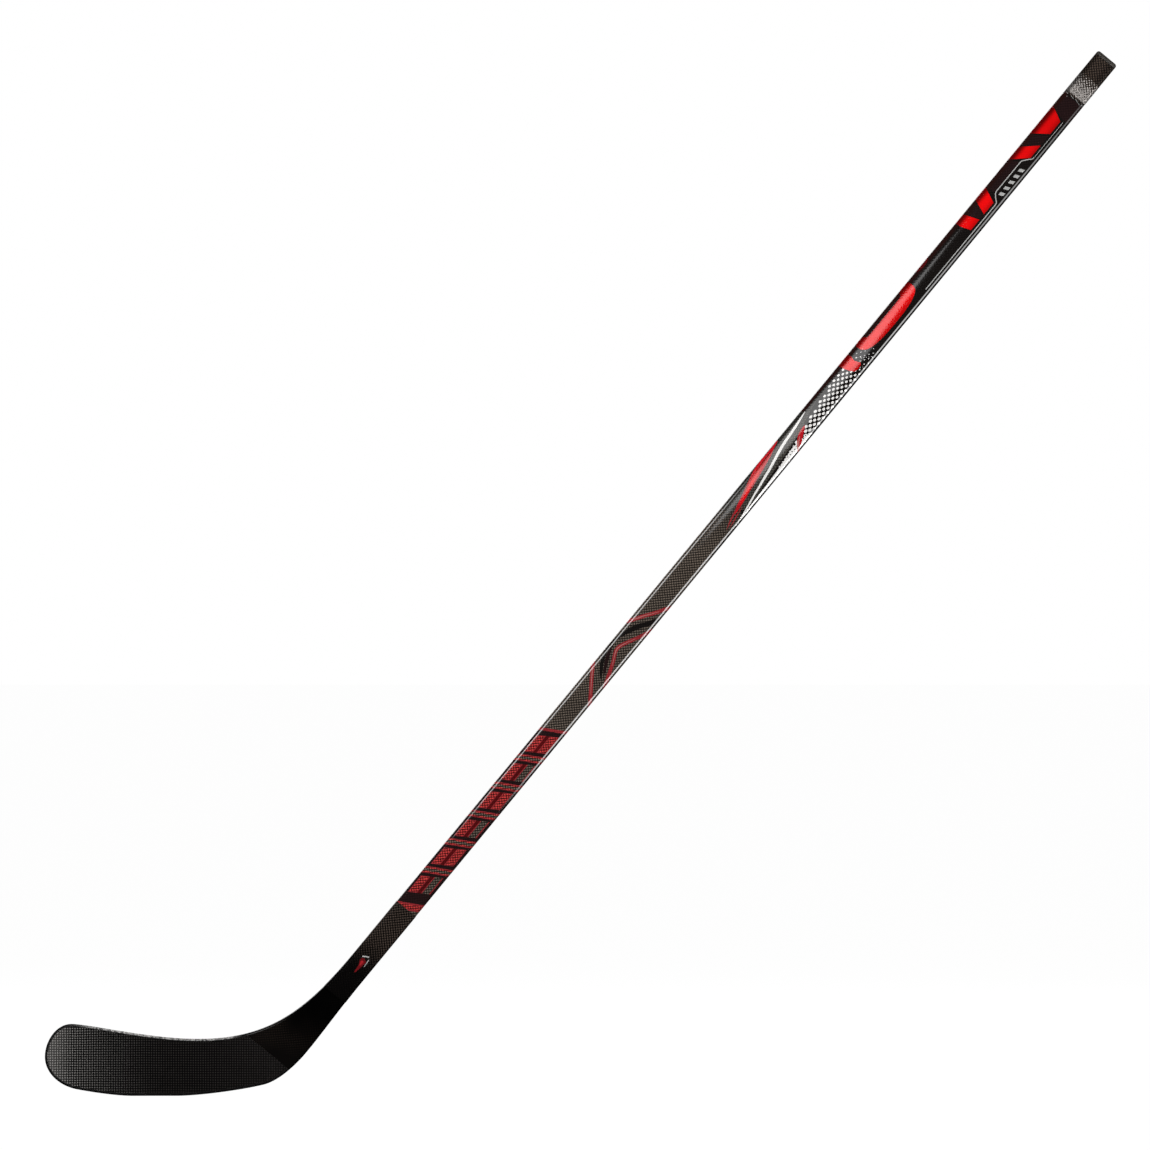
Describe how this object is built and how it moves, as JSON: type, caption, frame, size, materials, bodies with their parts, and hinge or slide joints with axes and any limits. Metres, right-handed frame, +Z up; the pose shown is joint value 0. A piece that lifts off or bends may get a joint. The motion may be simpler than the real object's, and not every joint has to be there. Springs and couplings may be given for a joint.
{
  "type": "ice hockey stick",
  "caption": "Composite ice hockey stick: hollow rectangular shaft with a pull-out end cap, tapered hosel and a thin curved woven blade, for passing and shooting a puck.",
  "frame": {"origin": "middle of the flat part of the blade's bottom edge, where the stick meets the ice", "axes": "+Z up from the ice, +X from the blade's toe towards the heel and on up the shaft, -Y out of the forehand face"},
  "size_m": [1.2445, 0.028, 1.2142],
  "materials": {
    "end_cap": "moulded, semi-matt, near black",
    "shaft_bias_ply": "bare carbon laminate, plus and minus 45 degree plies",
    "shaft_laminate": "bare unidirectional carbon laminate",
    "shaft_weave": "woven carbon under thin resin, brown-black",
    "silver_band": "silver speckled film",
    "graphics_film": "clear-coated print, red, white and silver on black",
    "foam_stop": "rigid foam",
    "blade_tenon": "carbon laminate over foam, sanded",
    "tenon_adhesive": "cured epoxy, amber",
    "fuse_wrap": "woven carbon under resin, fading to black",
    "hosel_decal": "printed decal",
    "hosel_shell": "black gloss carbon",
    "hosel_core": "rigid foam",
    "blade_front_skin": "plain woven carbon, matt grey-black",
    "blade_back_skin": "plain woven carbon, matt grey-black",
    "blade_core_upper": "rigid foam",
    "blade_core_lower": "rigid foam",
    "blade_stringer": "carbon rib",
    "blade_edge_band": "black resin-rich rim"
  },
  "bodies": {
    "stick": {"shaft_bias_ply": "shaft_bias_ply", "shaft_laminate": "shaft_laminate", "shaft_weave": "shaft_weave", "silver_band": "silver_band", "graphics_film": "graphics_film", "foam_stop": "foam_stop", "blade_tenon": "blade_tenon", "tenon_adhesive": "tenon_adhesive", "fuse_wrap": "fuse_wrap", "hosel_decal": "hosel_decal", "hosel_shell": "hosel_shell", "hosel_core": "hosel_core", "blade_front_skin": "blade_front_skin", "blade_back_skin": "blade_back_skin", "blade_core_upper": "blade_core_upper", "blade_core_lower": "blade_core_lower", "blade_stringer": "blade_stringer", "blade_edge_band": "blade_edge_band"},
    "cap": {"end_cap": "end_cap"}
  },
  "joints": [
    {"name": "cap_pull", "type": "slide", "parent": "stick", "child": "cap", "axis": [0.6361, 0, 0.7716], "range_m": [0, 0.045]}
  ]
}
